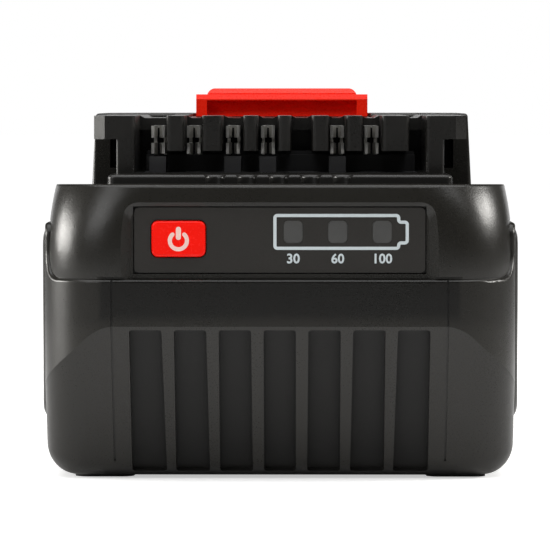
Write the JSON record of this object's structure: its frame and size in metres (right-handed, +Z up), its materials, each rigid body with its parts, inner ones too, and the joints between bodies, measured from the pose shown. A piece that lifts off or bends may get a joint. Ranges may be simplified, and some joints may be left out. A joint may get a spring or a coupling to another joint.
{
  "type": "power tool battery pack",
  "caption": "Slide-on battery pack for cordless tools: case in two halves, toothed T rail with contacts, gauge panel with check button, sprung red release latch, cells and boards inside.",
  "frame": {"origin": "middle of the case's footprint, on the plane of the feet", "axes": "+X is the right side seen from the front, -Y the front with the gauge panel, +Z up; the pack slides onto its tool towards -Y"},
  "size_m": [0.0804, 0.1166, 0.0655],
  "materials": {
    "case_black": "fine moulded texture, nearly matte",
    "rail_black": "smooth moulded, low sheen",
    "panel_black": "smooth printed panel",
    "button_red": "satin",
    "latch_red": "satin",
    "window_smoke": "smoky light window",
    "foot_rubber": "matte",
    "holder_black": "smooth moulded",
    "board_green": "solder mask",
    "chip_black": "moulded package",
    "plunger_white": "smooth",
    "led_clear": "clear lamp package",
    "cable_white": "flat cable",
    "sensor_bead": "dipped bead",
    "foam_grey": "closed-cell foam",
    "fibre_sheet": "pressed fibre sheet",
    "spring_steel": "drawn wire",
    "screw_steel": "dark plated",
    "cell_wrap": "shrink sleeve",
    "strip_nickel": "plain nickel sheet",
    "contact_tin": "tinned copper sheet"
  },
  "bodies": {
    "case": {"base_feet": "foot_rubber", "board_chips": "chip_black", "case_screws": "screw_steel", "cell_01": "cell_wrap", "cell_02": "cell_wrap", "cell_03": "cell_wrap", "cell_04": "cell_wrap", "cell_05": "cell_wrap", "cell_06": "cell_wrap", "cell_07": "cell_wrap", "cell_08": "cell_wrap", "cell_09": "cell_wrap", "cell_10": "cell_wrap", "cell_holder_left": "holder_black", "cell_holder_right": "holder_black", "control_board": "board_green", "control_board_screws": "screw_steel", "foam_pad": "foam_grey", "gauge_board": "board_green", "gauge_board_screws": "screw_steel", "gauge_cable": "cable_white", "gauge_leds": "led_clear", "gauge_panel": "panel_black", "gauge_switch": "chip_black", "insulator_left": "fibre_sheet", "insulator_right": "fibre_sheet", "latch_retainer": "holder_black", "latch_retainer_screws": "screw_steel", "latch_spring_left": "spring_steel", "latch_spring_right": "spring_steel", "led_windows": "window_smoke", "lower_case": "case_black", "rail_block": "rail_black", "rail_screws": "screw_steel", "strip_negative": "strip_nickel", "strip_positive": "strip_nickel", "strip_series_1": "strip_nickel", "strip_series_2": "strip_nickel", "strip_series_3": "strip_nickel", "strip_series_4": "strip_nickel", "terminal_carrier": "holder_black", "terminal_negative": "contact_tin", "terminal_positive": "contact_tin", "terminal_sense_1": "contact_tin", "terminal_sense_2": "contact_tin", "terminal_sense_3": "contact_tin", "terminal_sense_4": "contact_tin", "thermistor": "sensor_bead", "upper_case": "case_black"},
    "latch": {"release_latch": "latch_red"},
    "button": {"gauge_button": "button_red"},
    "switch_plunger": {"gauge_switch_plunger": "plunger_white"}
  },
  "joints": [
    {"name": "latch_slide", "type": "slide", "parent": "case", "child": "latch", "axis": [0, 0, -1], "range_m": [0, 0.0048], "stiffness_N_per_m": 2000, "springref_m": -0.003, "deforming": ["latch_spring_left", "latch_spring_right"]},
    {"name": "button_press", "type": "slide", "parent": "case", "child": "button", "axis": [0, 1, 0], "range_m": [0, 0.0005], "stiffness_N_per_m": 2000, "springref_m": -0.0005},
    {"name": "plunger_press", "type": "slide", "parent": "case", "child": "switch_plunger", "axis": [0, 1, 0], "range_m": [0, 0.0005]}
  ],
  "couplings": [
    {"joint": "plunger_press", "follows": "button_press", "ratio": 1}
  ]
}
